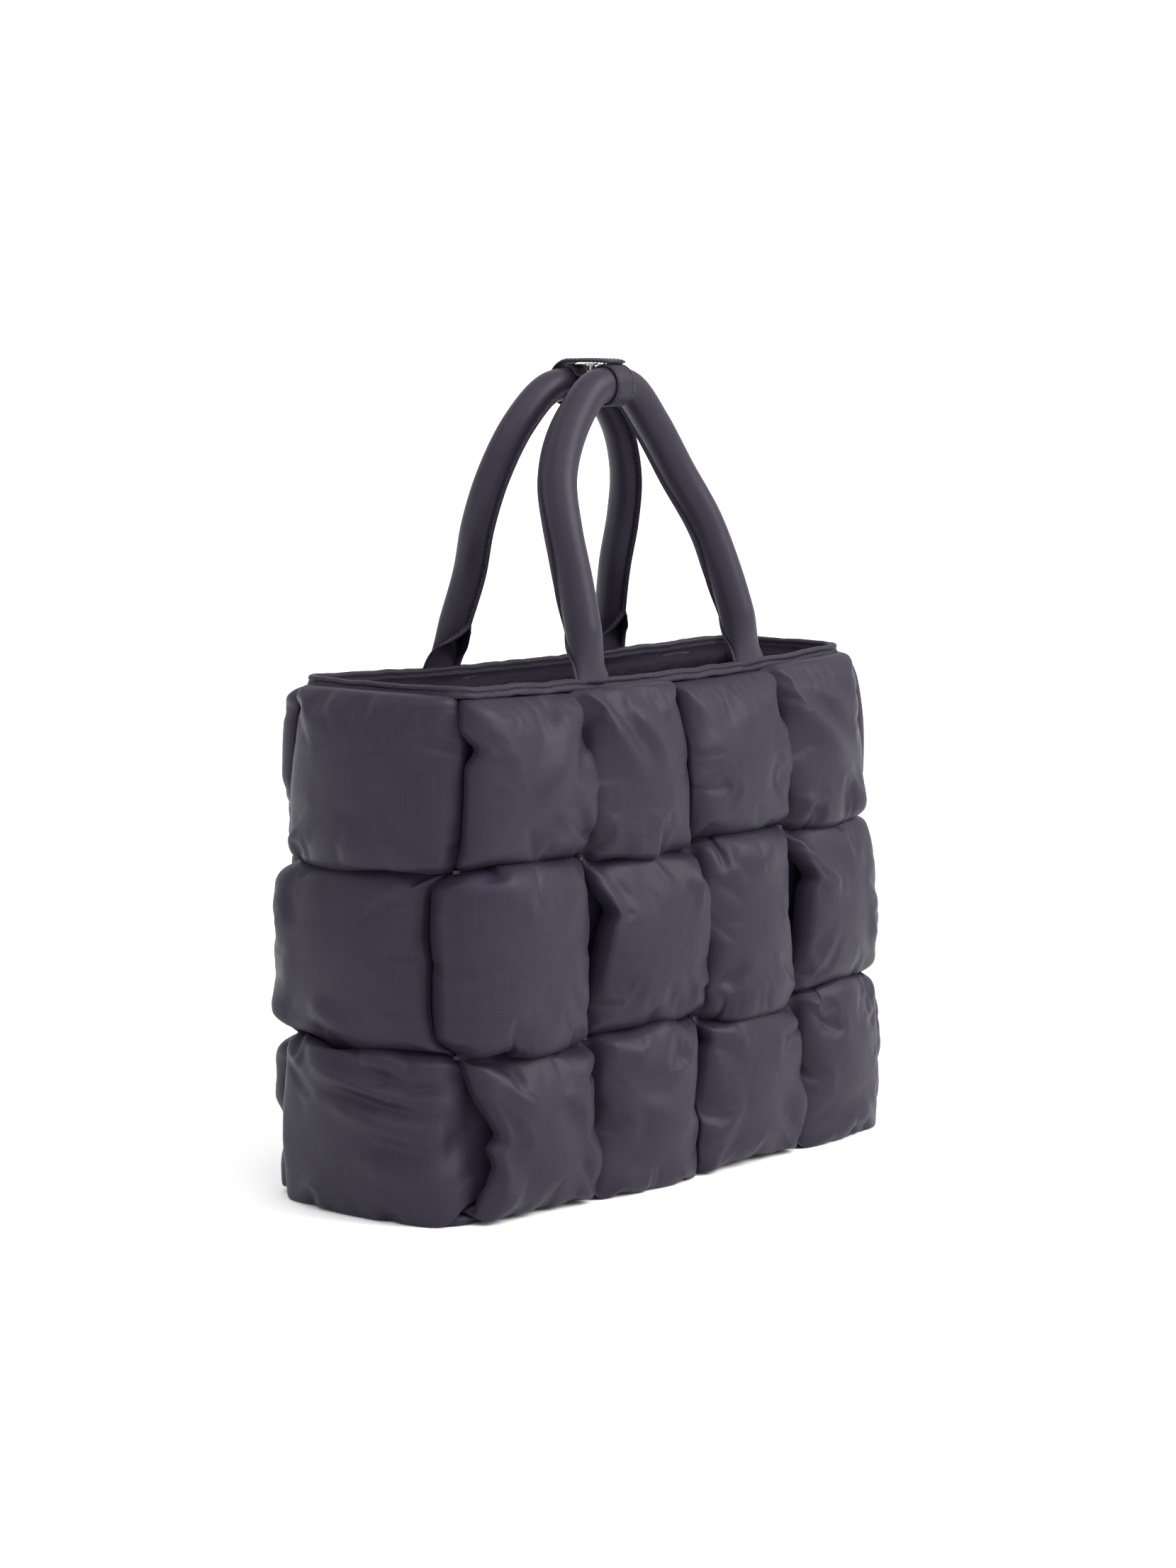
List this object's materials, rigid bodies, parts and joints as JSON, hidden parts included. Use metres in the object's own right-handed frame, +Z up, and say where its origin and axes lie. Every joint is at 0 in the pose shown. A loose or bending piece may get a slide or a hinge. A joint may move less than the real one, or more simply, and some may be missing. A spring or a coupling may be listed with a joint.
{
  "type": "puffer tote bag",
  "caption": "Open tote bag woven from wide padded nylon strips, with a thin lining, a bound rim and rolled top handles held together by a snapped keeper strap.",
  "frame": {"origin": "middle of the bag's footprint, on the floor that its base rests on", "axes": "+Z up, +X along the bag's length towards its narrower end, -Y towards the front"},
  "size_m": [0.4358, 0.1934, 0.4759],
  "materials": {
    "shell_nylon": "matt satin down-proof nylon, dark slate purple",
    "lining_nylon": "thin crinkled satin lining, darker slate purple",
    "binding_nylon": "folded nylon binding with topstitching",
    "handle_nylon": "smooth nylon drawn tight over a padded tube",
    "keeper_nylon": "flat stitched nylon strap",
    "snap_metal": "polished nickel press snap"
  },
  "bodies": {
    "root": {"ring_top": "shell_nylon", "ring_middle": "shell_nylon", "ring_bottom": "shell_nylon", "cross_strip_1": "shell_nylon", "cross_strip_2": "shell_nylon", "cross_strip_3": "shell_nylon", "cross_strip_4": "shell_nylon", "long_strip": "shell_nylon", "lining": "lining_nylon", "rim_binding": "binding_nylon", "handle_front": "handle_nylon", "handle_back": "handle_nylon", "keeper_strap": "keeper_nylon", "keeper_snap": "snap_metal"}
  },
  "joints": []
}
